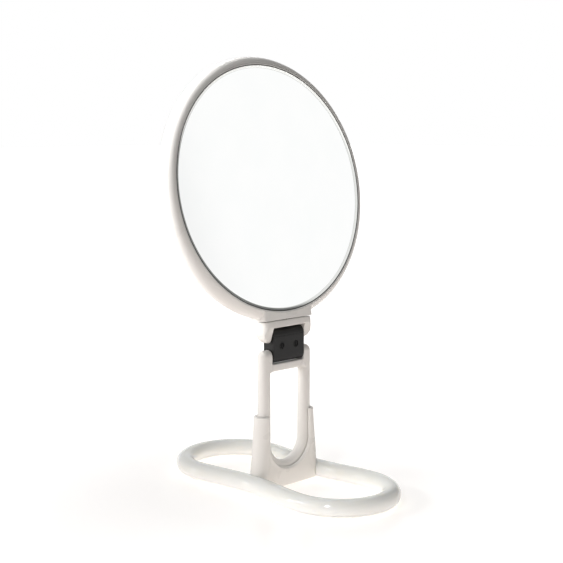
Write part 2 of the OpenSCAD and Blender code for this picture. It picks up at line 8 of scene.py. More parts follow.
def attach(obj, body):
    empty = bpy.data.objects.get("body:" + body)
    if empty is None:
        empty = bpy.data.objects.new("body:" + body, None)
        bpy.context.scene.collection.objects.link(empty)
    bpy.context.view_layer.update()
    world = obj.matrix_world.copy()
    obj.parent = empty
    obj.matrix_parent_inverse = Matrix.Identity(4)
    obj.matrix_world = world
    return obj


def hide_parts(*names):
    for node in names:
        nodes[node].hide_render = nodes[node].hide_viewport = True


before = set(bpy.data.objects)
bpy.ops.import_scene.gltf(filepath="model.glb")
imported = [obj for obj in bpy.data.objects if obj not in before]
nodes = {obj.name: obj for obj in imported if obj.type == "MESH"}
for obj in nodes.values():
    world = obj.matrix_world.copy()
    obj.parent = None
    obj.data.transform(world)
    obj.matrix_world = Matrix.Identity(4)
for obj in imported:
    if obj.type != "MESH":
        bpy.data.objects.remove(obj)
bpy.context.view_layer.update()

scene = bpy.context.scene
scene.view_settings.view_transform = "Standard"

# The camera
# It stands to the front left of the mirror at the height of the glass's upper
# half, and looks slightly down.
photo_side = 563
focal_in_pixels = 1185.58
sensor_width = 36
camera_place = (-0.50027, -0.5124, 0.2232)
camera_dip, camera_turn = 7.58, -44.19
nearest_seen, farthest_seen = 0.01, 30
camera = bpy.data.objects.new("camera", bpy.data.cameras.new("camera"))
camera.data.sensor_width = sensor_width
camera.data.lens = sensor_width * focal_in_pixels / photo_side
camera.data.clip_start = nearest_seen
camera.data.clip_end = farthest_seen
camera.location = camera_place
camera.rotation_euler = (math.radians(90 - camera_dip), 0, math.radians(camera_turn))
scene.collection.objects.link(camera)
scene.camera = camera


# The studio
# A white room, less bright in front, with a dark corner on the right that only
# gloss shows. Narrow beams light the head from the left and the ring from the
# front; a weak panel hangs overhead and a strip stands at the back left.
def link_nodes(tree, *pairs):
    """Joins each pair of sockets, output first."""
    for output, socket in pairs:
        tree.links.new(output, socket)


def feed(tree, socket, value):
    """Sets a socket to a number or colour, or links it to another node's output."""
    if isinstance(value, bpy.types.NodeSocket):
        tree.links.new(value, socket)
    else:
        socket.default_value = value


def reckon(tree, operation, *values):
    """The result of a sum on numbers and outputs."""
    node = tree.nodes.new("ShaderNodeMath")
    node.operation = operation
    for socket, value in zip(node.inputs, values):
        feed(tree, socket, value)
    return node.outputs[0]


def mapped(tree, value, start, end, at_start, at_end, course="LINEAR"):
    """What runs from at_start to at_end while the value runs from start to end."""
    span = tree.nodes.new("ShaderNodeMapRange")
    span.interpolation_type = course
    for title, given in (("Value", value), ("From Min", start), ("From Max", end),
                         ("To Min", at_start), ("To Max", at_end)):
        feed(tree, span.inputs[title], given)
    return span.outputs[0]


def blended(tree, kind, factor, first, second):
    """A number or colour that goes from first to second with the factor."""
    mix = tree.nodes.new("ShaderNodeMix")
    mix.data_type = kind
    for title, given in (("Factor", factor), ("A", first), ("B", second)):
        feed(tree, mix.inputs[title], given)
    return mix.outputs["Result"]


def sees_white(tree):
    """1 for what is seen directly, in gloss or through glass, and 0 for light that falls."""
    ray = tree.nodes.new("ShaderNodeLightPath")
    mirrored = reckon(tree, "MAXIMUM", ray.outputs["Is Glossy Ray"],
                      ray.outputs["Is Transmission Ray"])
    return reckon(tree, "MAXIMUM", ray.outputs["Is Camera Ray"], mirrored)


room = bpy.data.worlds.new("white_room")
room.use_nodes = True
scene.world = room
tree = room.node_tree
way = tree.nodes.new("ShaderNodeTexCoord").outputs["Generated"]


def lobe(toward, start, end, at_start, at_end):
    """A strength that changes from one side of the room to the side it points toward."""
    nearness = tree.nodes.new("ShaderNodeVectorMath")
    nearness.operation = "DOT_PRODUCT"
    nearness.inputs[1].default_value = toward
    tree.links.new(way, nearness.inputs[0])
    return mapped(tree, nearness.outputs["Value"], start, end, at_start, at_end, "SMOOTHSTEP")


dimmed_front = lobe((-0.2, -0.90, 0.35), start=-0.6, end=0.6, at_start=0.5, at_end=0.24)
dark_corner = lobe((0.89, -0.10, 0.445), start=0.79, end=0.93, at_start=1.0, at_end=0.2)
direct = tree.nodes.new("ShaderNodeLightPath").outputs["Is Camera Ray"]
fill_tint = (1.0, 0.985, 0.97, 1)
fill = tree.nodes["Background"]
fill.inputs["Color"].default_value = fill_tint
white = tree.nodes.new("ShaderNodeBackground")
white.inputs["Color"].default_value = (1, 1, 1, 1)
fill_or_white = tree.nodes.new("ShaderNodeMixShader")
link_nodes(tree,
           (dimmed_front, fill.inputs["Strength"]),
           (reckon(tree, "MAXIMUM", dark_corner, direct), white.inputs["Strength"]),
           (sees_white(tree), fill_or_white.inputs["Fac"]),
           (fill.outputs[0], fill_or_white.inputs[1]),
           (white.outputs[0], fill_or_white.inputs[2]),
           (fill_or_white.outputs[0], tree.nodes["World Output"].inputs["Surface"]))


def soft_panel(name, place, aim, width, height, power, beam=180):
    """A rectangular lamp that faces aim, with the angle of its beam in degrees."""
    lamp = bpy.data.lights.new(name, "AREA")
    lamp.shape = "RECTANGLE"
    lamp.size = width
    lamp.size_y = height
    lamp.energy = power
    lamp.spread = math.radians(beam)
    panel = bpy.data.objects.new(name, lamp)
    panel.location = place
    panel.rotation_euler = (Vector(aim) - Vector(place)).to_track_quat("-Z", "Y").to_euler()
    scene.collection.objects.link(panel)


soft_panel("head_panel", (-0.5, 0.3, 0.40), aim=(0, 0, 0.29),
           width=0.3, height=0.2, power=1.0, beam=42)
soft_panel("top_panel", (0, 0.3, 1.2), aim=(0, 0, 0.1),
           width=0.9, height=0.9, power=1.6)
soft_panel("front_spot", (-0.45, -0.22, 0.42), aim=(-0.025, -0.04, 0),
           width=0.05, height=0.12, power=0.026, beam=25)
soft_panel("back_strip", (-1.04, 1.08, 0.34), aim=(0, 0, 0),
           width=0.07, height=0.45, power=1.0)

# The light table
# A white polished top that runs into the white of the room. It glows round the stand: painted
# light that lights the stand from below like a lamp. Where it is seen directly, in gloss or
# through glass, the glow is dimmer close to the stand. That is painted shade round the ring, on
# top of the real soft shade that falls on it.
table_half = 9.0
table_white = (0.84, 0.815, 0.80, 1)
table_roughness = 0.2
table_gloss = 0.35
cast_tint = (1.0, 0.91, 0.87, 1)
seen_tint = (1.0, 0.99, 0.985, 1)
table_mesh = bpy.data.meshes.new("table_top")
corners = [(x, y, 0) for x, y in ((-1, -1), (1, -1), (1, 1), (-1, 1))]
table_mesh.from_pydata([Vector(c) * table_half for c in corners], [], [(0, 1, 2, 3)])
table_top = bpy.data.objects.new("table_top", table_mesh)
scene.collection.objects.link(table_top)

polish = bpy.data.materials.new("white_light_table")
polish.use_nodes = True
tree = polish.node_tree
top_coat = tree.nodes["Principled BSDF"]
top_coat.inputs["Base Color"].default_value = table_white
top_coat.inputs["Roughness"].default_value = table_roughness
top_coat.inputs["Specular IOR Level"].default_value = table_gloss
on_table = tree.nodes.new("ShaderNodeTexCoord")
from_stand = tree.nodes.new("ShaderNodeVectorMath")
from_stand.operation = "LENGTH"
distance = from_stand.outputs["Value"]
# Painted light: the glow that falls on the stand, strongest close to it.
cast_glow = mapped(tree, distance, start=0.1, end=0.55, at_start=0.97, at_end=0.0,
                   course="SMOOTHSTEP")
# Painted shade: the glow that is seen grows dimmer close to the stand.
seen_glow = mapped(tree, distance, start=0.08, end=0.24, at_start=0.39, at_end=0.75)
seen = sees_white(tree)
glow = tree.nodes.new("ShaderNodeEmission")
both = tree.nodes.new("ShaderNodeAddShader")
link_nodes(tree,
           (on_table.outputs["Object"], from_stand.inputs[0]),
           (blended(tree, "RGBA", seen, cast_tint, seen_tint), glow.inputs["Color"]),
           (blended(tree, "FLOAT", seen, cast_glow, seen_glow), glow.inputs["Strength"]),
           (top_coat.outputs[0], both.inputs[0]),
           (glow.outputs[0], both.inputs[1]),
           (both.outputs[0], tree.nodes["Material Output"].inputs["Surface"]))
table_mesh.materials.append(polish)

# Base ring
# One tube of polished white plastic, drawn in at the waist where the cradle
# stands. A fine groove marks the joint with the cover below.
patch_scale = 60
noise_detail = 2.0
noise_low, noise_high = 0.3, 0.7
light_reach = (1, 0.95, 0.85)
sharp_past = 35


def speckle(tree, scale):
    """A noise on the piece's own coordinates, in metres."""
    place = tree.nodes.new("ShaderNodeTexCoord")
    noise = tree.nodes.new("ShaderNodeTexNoise")
    noise.inputs["Scale"].default_value = scale
    noise.inputs["Detail"].default_value = noise_detail
    tree.links.new(place.outputs["Object"], noise.inputs["Vector"])
    return noise.outputs["Fac"]


def spread(tree, value, low, high):
    """Maps a noise's middle range to the span from low to high."""
    return mapped(tree, value, noise_low, noise_high, low, high)


def dents(tree, value, height):
    """Bump of the given height in metres."""
    bump = tree.nodes.new("ShaderNodeBump")
    bump.inputs["Distance"].default_value = height
    tree.links.new(value, bump.inputs["Height"])
    return bump.outputs["Normal"]


def finish(name, dark, light, roughness, grain, grain_height, metallic=0.0, gloss=0.5,
           depth=0.0):
    """A material whose tone and gloss vary a little, with a fine grain.

    Light goes depth deep into it, in metres.
    """
    material = bpy.data.materials.new(name)
    material.use_nodes = True
    tree = material.node_tree
    shader = tree.nodes["Principled BSDF"]
    shader.inputs["Metallic"].default_value = metallic
    shader.inputs["Specular IOR Level"].default_value = gloss
    shader.inputs["Subsurface Weight"].default_value = 1.0 if depth else 0.0
    shader.inputs["Subsurface Radius"].default_value = light_reach
    shader.inputs["Subsurface Scale"].default_value = depth
    patches = speckle(tree, patch_scale)
    tones = blended(tree, "RGBA", spread(tree, patches, 0, 1), (*dark, 1), (*light, 1))
    link_nodes(tree,
               (tones, shader.inputs["Base Color"]),
               (spread(tree, patches, *roughness), shader.inputs["Roughness"]),
               (dents(tree, speckle(tree, grain), grain_height), shader.inputs["Normal"]))
    return material


def dress(material, *names):
    """Gives CAD nodes their finish."""
    for name in names:
        nodes[name].data.materials.clear()
        nodes[name].data.materials.append(material)


def new_tree(name, **inputs):
    """A geometry tree with a mesh input, named size inputs and a mesh output."""
    tree = bpy.data.node_groups.new(name, "GeometryNodeTree")
    tree.interface.new_socket("Mesh", in_out="INPUT", socket_type="NodeSocketGeometry")
    for title, value in inputs.items():
        kind = {float: "NodeSocketFloat", int: "NodeSocketInt"}[type(value)]
        socket = tree.interface.new_socket(title, in_out="INPUT", socket_type=kind)
        socket.default_value = value
    tree.interface.new_socket("Mesh", in_out="OUTPUT", socket_type="NodeSocketGeometry")
    return tree, tree.nodes.new("NodeGroupInput"), tree.nodes.new("NodeGroupOutput")


def end_tree(tree, result, material, last):
    """Ends a tree in real geometry with its material."""
    real = tree.nodes.new("GeometryNodeRealizeInstances")
    coat = tree.nodes.new("GeometryNodeSetMaterial")
    coat.inputs["Material"].default_value = material
    link_nodes(tree,
               (result, real.inputs[0]),
               (real.outputs[0], coat.inputs["Geometry"]),
               (coat.outputs[0], last.inputs[0]))


def settled(piece):
    """The piece with its modifiers turned into plain mesh."""
    seen = piece.evaluated_get(bpy.context.evaluated_depsgraph_get())
    mesh = bpy.data.meshes.new_from_object(seen)
    mesh.name = piece.name
    piece.modifiers.clear()
    piece.data = mesh
    return piece


def shade(piece):
    """Smooth faces with the sharper edges left sharp."""
    piece.data.shade_smooth()
    piece.data.set_sharp_from_angle(angle=math.radians(sharp_past))


def grown(name, points, edges, tree, material, place=Matrix.Identity(4), **sizes):
    """A piece that a geometry tree makes from points and edges, moved to its place."""
    mesh = bpy.data.meshes.new(name)
    mesh.from_pydata([Vector(p) for p in points], edges, [])
    mesh.materials.append(material)
    piece = bpy.data.objects.new(name, mesh)
    scene.collection.objects.link(piece)
    maker = piece.modifiers.new("maker", "NODES")
    maker.node_group = tree
    for item in tree.interface.items_tree:
        if item.in_out == "INPUT" and item.name in sizes:
            maker[item.identifier] = sizes[item.name]
    settled(piece).data.transform(place)
    # The tree can leave empty slots beside the material
    piece.data.materials.clear()
    piece.data.materials.append(material)
    shade(piece)
    return piece


def part_of(piece, body, slot, *replaced):
    """Hangs a piece on its body in place of CAD nodes. The slot is not used."""
    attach(piece, body)
    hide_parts(*replaced)


def arc(middle, radius, start, stop, steps):
    """Points of an arc in the plane of a section."""
    turns = [math.radians(start + (stop - start) * k / steps) for k in range(steps + 1)]
    return [(middle[0] + radius * math.cos(turn), middle[1] + radius * math.sin(turn))
            for turn in turns]


def eased(share):
    """A share from 0 to 1 that starts and ends gently."""
    share = min(max(share, 0), 1)
    return share * share * (3 - 2 * share)


polished_white = finish("polished_white_plastic", dark=(0.90, 0.905, 0.815),
                        light=(0.925, 0.93, 0.84), roughness=(0.07, 0.12),
                        grain=90, grain_height=0.000008, gloss=0.8, depth=0.004)

ring_end_radius = 0.0315
ring_end_middle = 0.0463
ring_waist = 0.0045
ring_steps = 264
ring_end_steps = 40
side_reach = 0.02
tube_radius = 0.0057
tube_low_middle = 0.0059
tube_high_middle = 0.0060
cavity_radius = 0.0039
joint_height = 0.003
joint_groove = 0.00015
joint_chamfer = 3


def ring_x(y):
    """Half the width of the ring's middle line at a distance y from the cradle."""
    return ring_end_radius - ring_waist * (1 - eased(abs(y) / ring_end_middle))


sweep, sizes_in, last = new_tree("waisted_sweep", Radius=0.01, Middle=0.01, Waist=0.001, Steps=8)
end_radius, end_middle, waist, steps = [
    sizes_in.outputs[title] for title in ("Radius", "Middle", "Waist", "Steps")]
rectangle = sweep.nodes.new("GeometryNodeCurvePrimitiveQuadrilateral")
ends_round = sweep.nodes.new("GeometryNodeFilletCurve")
ends_round.mode = "POLY"
ends_round.inputs["Count"].default_value = ring_end_steps
stepped = sweep.nodes.new("GeometryNodeResampleCurve")
place = sweep.nodes.new("GeometryNodeInputPosition")
parts = sweep.nodes.new("ShaderNodeSeparateXYZ")
shift = sweep.nodes.new("ShaderNodeCombineXYZ")
waisted = sweep.nodes.new("GeometryNodeSetPosition")
upright = sweep.nodes.new("GeometryNodeSetCurveNormal")
upright.mode = "Z_UP"
section_curve = sweep.nodes.new("GeometryNodeMeshToCurve")
skin = sweep.nodes.new("GeometryNodeCurveToMesh")
half_length = reckon(sweep, "ADD", end_radius, end_middle)
inwards = mapped(sweep, parts.outputs["X"], -side_reach, side_reach, 1, -1)
from_cradle = reckon(sweep, "ABSOLUTE", parts.outputs["Y"])
drawn_in = mapped(sweep, from_cradle, 0, end_middle, waist, 0, "SMOOTHSTEP")
link_nodes(sweep,
           (reckon(sweep, "MULTIPLY", end_radius, 2), rectangle.inputs["Width"]),
           (reckon(sweep, "MULTIPLY", half_length, 2), rectangle.inputs["Height"]),
           (rectangle.outputs[0], ends_round.inputs["Curve"]),
           (end_radius, ends_round.inputs["Radius"]),
           (ends_round.outputs[0], stepped.inputs["Curve"]),
           (steps, stepped.inputs["Count"]),
           (place.outputs[0], parts.inputs[0]),
           (reckon(sweep, "MULTIPLY", inwards, drawn_in), shift.inputs["X"]),
           (stepped.outputs[0], waisted.inputs["Geometry"]),
           (shift.outputs[0], waisted.inputs["Offset"]),
           (waisted.outputs[0], upright.inputs["Curve"]),
           (upright.outputs[0], skin.inputs["Curve"]),
           (sizes_in.outputs["Mesh"], section_curve.inputs["Mesh"]),
           (section_curve.outputs[0], skin.inputs["Profile Curve"]))
end_tree(sweep, skin.outputs[0], polished_white, last)


def swept(name, section):
    """A closed section of (across, up) swept round the ring's path."""
    return grown(name, [(x, -z, 0) for x, z in reversed(section)],
                 [(k, (k + 1) % len(section)) for k in range(len(section))],
                 sweep, polished_white, Radius=ring_end_radius, Middle=ring_end_middle,
                 Waist=ring_waist, Steps=ring_steps)


joint_half = math.sqrt(tube_radius ** 2 - (tube_low_middle - joint_height) ** 2)
joint_angle = math.degrees(math.asin((joint_height - tube_low_middle) / tube_radius))
low_arc = arc((0, tube_low_middle), tube_radius, joint_angle + joint_chamfer, 0, steps=6)
ring_tube = swept("base_ring_tube",
                  [(joint_half - joint_groove, joint_height)]
                  + low_arc
                  + arc((0, tube_high_middle), tube_radius, 0, 180, steps=32)
                  + [(-x, z) for x, z in reversed(low_arc)]
                  + [(joint_groove - joint_half, joint_height), (-cavity_radius, joint_height)]
                  + arc((0, tube_high_middle), cavity_radius, 180, 0, steps=16)
                  + [(cavity_radius, joint_height)])
part_of(ring_tube, "stand", "shell", "base_ring")

# Bottom cover of the base
# White plastic, injection moulded, and screwed up against the open underside of
# the ring. It has sinks for the screw heads and the feet.
joint_gap = 0.00003
cover_top = joint_height - joint_gap
foot_radius = 0.0026
foot_height = 0.0015
foot_gap = 0.00005
foot_y = 0.047
base_screw_y = 0.034
sink_radius = 0.0021
sink_depth = 0.0022
sink_sides = 48
cover = swept("ring_cover",
              [(joint_half - joint_groove, cover_top), (joint_groove - joint_half, cover_top)]
              + arc((0, tube_low_middle), tube_radius, 180 + joint_chamfer - joint_angle,
                    360 - joint_chamfer + joint_angle, steps=24))
screw_sinks = [(y, sink_radius, sink_depth) for y in (-base_screw_y, 0, base_screw_y)]
foot_sinks = [(y, foot_radius + foot_gap, foot_height) for y in (-foot_y, foot_y)]
sinks = bmesh.new()
for y, radius, depth in screw_sinks + foot_sinks:
    for side in (-1, 1):
        bmesh.ops.create_cone(sinks, cap_ends=True, segments=sink_sides,
                              radius1=radius, radius2=radius, depth=2 * depth,
                              matrix=Matrix.Translation((side * ring_x(y), y, 0)))
sinks_mesh = bpy.data.meshes.new("sinks")
sinks.to_mesh(sinks_mesh)
sinks.free()
cutter = bpy.data.objects.new("sinks", sinks_mesh)
scene.collection.objects.link(cutter)
bored = cover.modifiers.new("bored", "BOOLEAN")
bored.object = cutter
bored.solver = "EXACT"
settled(cover)
bpy.data.objects.remove(cutter)
shade(cover)
part_of(cover, "stand", "shell", "base_bottom_cover")

# Feet
# Four clear rubber pads, moulded with a rounded rim and pressed into recesses
# of the bottom cover.
clear_rubber = finish("clear_rubber", dark=(0.74, 0.74, 0.72), light=(0.80, 0.80, 0.78),
                      roughness=(0.42, 0.55), grain=900, grain_height=0.00001)
pad_sides = 48
rim_steps = ((0.00012, 0.97), (0.0001, 0.93), (0.00006, 0.86))
rounding = sum(rise for rise, narrow in rim_steps)

pads, sizes_in, last = new_tree("foot_pads", Radius=0.003, Height=0.002)
pad = pads.nodes.new("GeometryNodeMeshCylinder")
pad.inputs["Vertices"].default_value = pad_sides
link_nodes(pads,
           (sizes_in.outputs["Radius"], pad.inputs["Radius"]),
           (sizes_in.outputs["Height"], pad.inputs["Depth"]))
pad_body = pad.outputs["Mesh"]
pad_face = pad.outputs["Bottom"]
for rise, narrow in rim_steps:
    step_out = pads.nodes.new("GeometryNodeExtrudeMesh")
    step_out.inputs["Offset Scale"].default_value = rise
    step_in = pads.nodes.new("GeometryNodeScaleElements")
    step_in.inputs["Scale"].default_value = narrow
    link_nodes(pads,
               (pad_body, step_out.inputs["Mesh"]),
               (pad_face, step_out.inputs["Selection"]),
               (step_out.outputs["Mesh"], step_in.inputs[0]),
               (step_out.outputs["Top"], step_in.inputs["Selection"]))
    pad_body = step_in.outputs[0]
    pad_face = step_out.outputs["Top"]
pad_on_point = pads.nodes.new("GeometryNodeInstanceOnPoints")
link_nodes(pads,
           (sizes_in.outputs["Mesh"], pad_on_point.inputs["Points"]),
           (pad_body, pad_on_point.inputs["Instance"]))
end_tree(pads, pad_on_point.outputs[0], clear_rubber, last)

foot_points = [(sx * ring_x(foot_y), sy * foot_y, (foot_height + rounding) / 2)
               for sx in (-1, 1) for sy in (-1, 1)]
feet = grown("foot_pads", foot_points, [], pads, clear_rubber,
             Radius=foot_radius, Height=foot_height - rounding)
part_of(feet, "stand", "rubber", "rubber_feet")

# Screws under the base
# Zinc-plated cross-head screws with a rolled thread. They come up through the
# cover into the ring's bosses and the cradle's lugs.
zinc = finish("zinc_plated_steel", dark=(0.42, 0.42, 0.41), light=(0.55, 0.55, 0.53),
              roughness=(0.28, 0.4), grain=1500, grain_height=0.000004, metallic=1.0)
base_screw_face = 0.001
small_screw = {"Head": 0.0019, "Shank": 0.001, "Pitch": 0.00045}
head_sides, shank_sides, thread_steps, ridge_sides = 48, 32, 20, 4
# Shares of the head's thickness, with how far the dome narrows at each step
straight_share = 0.62
dome_steps = ((0.14, 0.93), (0.12, 0.87), (0.08, 0.76), (0.04, 0.55))
# Shares of the head's radius and thickness
slot_length, slot_width, slot_depth = 1.15, 0.24, 1.1
# Shares of the shank's radius
core_share, ridge_share = 0.86, 0.13
# Shares of the shank's length that the thread takes and leaves at the point
thread_share, point_share = 0.92, 0.03
# How far the shank runs into the head, in metres and as a share of its thickness
shank_overlap, overlap_share = 0.00002, 0.02
turn_seed = 5


def screw_tree(name, material):
    """Cross-head screws with a domed head at Z = 0 and a rolled thread, point down."""
    tree, sizes_in, last = new_tree(name, Head=0.002, Thick=0.001, Shank=0.001, Length=0.006,
                                    Pitch=0.0005)
    head_size, thick, shank, length, pitch = [
        sizes_in.outputs[title] for title in ("Head", "Thick", "Shank", "Length", "Pitch")]

    def times(value, share):
        """A share of a size."""
        return reckon(tree, "MULTIPLY", value, share)

    def raised(geometry, *heights):
        """A shape moved up by two heights together."""
        move = tree.nodes.new("GeometryNodeTransform")
        shift = tree.nodes.new("ShaderNodeCombineXYZ")
        link_nodes(tree,
                   (geometry, move.inputs["Geometry"]),
                   (reckon(tree, "ADD", *heights), shift.inputs["Z"]),
                   (shift.outputs[0], move.inputs["Translation"]))
        return move.outputs[0]

    head = tree.nodes.new("GeometryNodeMeshCylinder")
    head.inputs["Vertices"].default_value = head_sides
    side = times(thick, straight_share)
    link_nodes(tree, (head_size, head.inputs["Radius"]), (side, head.inputs["Depth"]))
    shape = raised(head.outputs["Mesh"], times(side, 0.5), times(thick, -1))
    top = head.outputs["Top"]
    for share, narrow in dome_steps:
        up = tree.nodes.new("GeometryNodeExtrudeMesh")
        draw_in = tree.nodes.new("GeometryNodeScaleElements")
        draw_in.inputs["Scale"].default_value = narrow
        link_nodes(tree,
                   (shape, up.inputs["Mesh"]),
                   (top, up.inputs["Selection"]),
                   (times(thick, share), up.inputs["Offset Scale"]),
                   (up.outputs["Mesh"], draw_in.inputs[0]),
                   (up.outputs["Top"], draw_in.inputs["Selection"]))
        shape, top = draw_in.outputs[0], up.outputs["Top"]
    recess = tree.nodes.new("GeometryNodeMeshBoolean")
    recess.operation = "DIFFERENCE"
    recess.solver = "MANIFOLD"
    tree.links.new(shape, recess.inputs["Mesh 1"])
    for turn in (0, 90):
        slot = tree.nodes.new("GeometryNodeMeshCube")
        size = tree.nodes.new("ShaderNodeCombineXYZ")
        spin = tree.nodes.new("GeometryNodeTransform")
        spin.inputs["Rotation"].default_value = (0, 0, math.radians(turn))
        link_nodes(tree,
                   (times(head_size, slot_length), size.inputs["X"]),
                   (times(head_size, slot_width), size.inputs["Y"]),
                   (times(thick, slot_depth), size.inputs["Z"]),
                   (size.outputs[0], slot.inputs["Size"]),
                   (slot.outputs["Mesh"], spin.inputs["Geometry"]),
                   (spin.outputs[0], recess.inputs["Mesh 2"]))

    pin = tree.nodes.new("GeometryNodeMeshCylinder")
    pin.inputs["Vertices"].default_value = shank_sides
    reach = reckon(tree, "ADD", reckon(tree, "SUBTRACT", length, thick), shank_overlap)
    core = times(shank, core_share)
    link_nodes(tree, (core, pin.inputs["Radius"]), (reach, pin.inputs["Depth"]))
    stem = raised(pin.outputs["Mesh"], times(reach, -0.5), times(thick, overlap_share - 1))
    threaded = times(reach, thread_share)
    helix = tree.nodes.new("GeometryNodeCurveSpiral")
    helix.inputs["Resolution"].default_value = thread_steps
    ridge = tree.nodes.new("GeometryNodeCurvePrimitiveCircle")
    ridge.inputs["Resolution"].default_value = ridge_sides
    wound = tree.nodes.new("GeometryNodeCurveToMesh")
    wound.inputs["Fill Caps"].default_value = True
    link_nodes(tree,
               (reckon(tree, "DIVIDE", threaded, pitch), helix.inputs["Rotations"]),
               (core, helix.inputs["Start Radius"]),
               (core, helix.inputs["End Radius"]),
               (threaded, helix.inputs["Height"]),
               (times(shank, ridge_share), ridge.inputs["Radius"]),
               (helix.outputs[0], wound.inputs["Curve"]),
               (ridge.outputs[0], wound.inputs["Profile Curve"]))
    thread = raised(wound.outputs[0], times(length, -1), times(reach, point_share))

    whole = tree.nodes.new("GeometryNodeJoinGeometry")
    turned = tree.nodes.new("FunctionNodeRandomValue")
    turned.data_type = "FLOAT_VECTOR"
    turned.inputs[0].default_value = (0, 0, 0)
    turned.inputs[1].default_value = (0, 0, math.radians(90))
    turned.inputs["Seed"].default_value = turn_seed
    on_point = tree.nodes.new("GeometryNodeInstanceOnPoints")
    link_nodes(tree,
               (recess.outputs["Mesh"], whole.inputs[0]),
               (stem, whole.inputs[0]),
               (thread, whole.inputs[0]),
               (sizes_in.outputs["Mesh"], on_point.inputs["Points"]),
               (whole.outputs[0], on_point.inputs["Instance"]),
               (turned.outputs["Value"], on_point.inputs["Rotation"]))
    end_tree(tree, on_point.outputs[0], material, last)
    return tree


zinc_screws = screw_tree("zinc_screws", zinc)
point_up = Matrix.Rotation(math.pi, 4, "X")
base_screw_place = Matrix.Translation((0, 0, base_screw_face)) @ point_up
cover_screws = grown("cover_screws",
                     [(sx * ring_x(base_screw_y), sy * base_screw_y, 0)
                      for sx in (-1, 1) for sy in (-1, 1)],
                     [], zinc_screws, zinc, base_screw_place,
                     Thick=0.0012, Length=0.006, **small_screw)
part_of(cover_screws, "stand", "steel", "base_screws")
lug_screws = grown("lug_screws", [(sx * ring_x(0), 0, 0) for sx in (-1, 1)],
                   [], zinc_screws, zinc, base_screw_place,
                   Thick=0.0012, Length=0.0064, **small_screw)
part_of(lug_screws, "stand", "steel", "cradle_screws")

# Cradle
# One white moulding that stands across the ring. The saddle, the sleeve round
# the handle and the bevelled cut-out run into each other with soft edges.
merge_distance = 1e-6
smooth_factor = 0.5
lug_tip = 0.0308


def softened(name, node, voxel, rounds, keep):
    """A copy of a CAD node with one even skin, its edges rounded as moulding leaves them."""
    mesh = nodes[node].data.copy()
    loose = bmesh.new()
    loose.from_mesh(mesh)
    bmesh.ops.remove_doubles(loose, verts=loose.verts, dist=merge_distance)
    loose.to_mesh(mesh)
    loose.free()
    mesh.materials.clear()
    piece = bpy.data.objects.new(name, mesh)
    scene.collection.objects.link(piece)
    even = piece.modifiers.new("even_skin", "REMESH")
    even.mode = "VOXEL"
    even.voxel_size = voxel
    soft = piece.modifiers.new("soft_edges", "SMOOTH")
    soft.factor = smooth_factor
    soft.iterations = rounds
    thinned = piece.modifiers.new("thinned", "DECIMATE")
    thinned.ratio = keep
    settled(piece)
    piece.data.shade_smooth()
    return piece


# Painted shade: the same white plastic as the head frame, made darker to stand in for the shade
# on the cradle, the handle and the fork.
shaded_white = finish("white_plastic_painted_darker", dark=(0.735, 0.715, 0.685),
                     light=(0.76, 0.74, 0.71), roughness=(0.26, 0.33),
                     grain=120, grain_height=0.000008)
cradle = softened("cradle_moulding", "cradle", voxel=0.0004, rounds=7, keep=0.35)
cradle.data.materials.append(shaded_white)
for vertex in cradle.data.vertices:
    vertex.co.x = min(max(vertex.co.x, -lug_tip), lug_tip)
part_of(cradle, "stand", "shell", "cradle")

# Handle
# One white moulding: a round rod in the form of a U, the bar under the link,
# and two ears with domed ends that hold the lower pin.
handle = softened("handle_moulding", "handle_loop", voxel=0.00035, rounds=14, keep=0.4)
handle.data.materials.append(shaded_white)
part_of(handle, "handle", "shell", "handle_loop")

# Hinge pins and friction sleeves
# Two plain steel rods pressed into the ears, and the soft grey sleeves in the
# link that grip them.
dress(zinc, "upper_hinge_pin", "lower_hinge_pin")
grey_foam = finish("grey_foam", dark=(0.12, 0.12, 0.125), light=(0.2, 0.2, 0.205),
                   roughness=(0.85, 0.95), grain=3000, grain_height=0.0001)
dress(grey_foam, "upper_friction_sleeve", "lower_friction_sleeve")

# Link
# Two halves of black glass-filled nylon with a fine spark-eroded grain, held
# together by two blackened cross-head screws.
black_nylon = finish("black_nylon", dark=(0.006, 0.006, 0.006), light=(0.010, 0.0095, 0.009),
                     roughness=(0.38, 0.5), grain=1600, grain_height=0.000012, gloss=0.25)
dress(black_nylon, "link_front", "link_rear")
black_steel = finish("blackened_steel", dark=(0.006, 0.006, 0.006), light=(0.012, 0.012, 0.012),
                     roughness=(0.35, 0.5), grain=1500, grain_height=0.000004, gloss=0.15)
lower_axis = 0.0833
hinge_pitch = 0.0123
link_half_depth = 0.0043
screw_sink = 0.00015
screw_side = 0.006
link_screw_place = (
    Matrix.Translation((0, screw_sink - link_half_depth, lower_axis + hinge_pitch / 2))
    @ Matrix.Rotation(math.pi / 2, 4, "X"))
link_screw_pair = grown("link_screw_pair", [(sx * screw_side, 0, 0) for sx in (-1, 1)],
                        [], screw_tree("black_screws", black_steel), black_steel,
                        link_screw_place, Thick=0.0011, Length=0.0068, **small_screw)
part_of(link_screw_pair, "link", "dark_steel", "link_screws")

# Fork
# One white moulding: the bridge that the head turns on, and two tapered ears
# with rounded tips that hold the upper pin.
head_lean = math.radians(9.74)
upper_axis = lower_axis + hinge_pitch
head_frame = Matrix.Translation((0, 0, upper_axis)) @ Matrix.Rotation(-head_lean, 4, "X")
ear_taper = 0.2
taper_top, taper_length = 0.007, 0.011
bridge_low, bridge_high, bridge_drop = 0.0047, 0.0058, 0.0005
ear_gap = 0.0128
fork = softened("fork_moulding", "head_fork", voxel=0.00035, rounds=16, keep=0.45)
fork.data.transform(head_frame.inverted())
for vertex in fork.data.vertices:
    vertex.co.y *= 1 - ear_taper * eased((taper_top - vertex.co.z) / taper_length)
    if abs(vertex.co.x) < ear_gap and bridge_low < vertex.co.z < bridge_high:
        vertex.co.z -= bridge_drop
fork.data.transform(head_frame)
fork.data.materials.append(shaded_white)
part_of(fork, "fork", "shell", "head_fork")

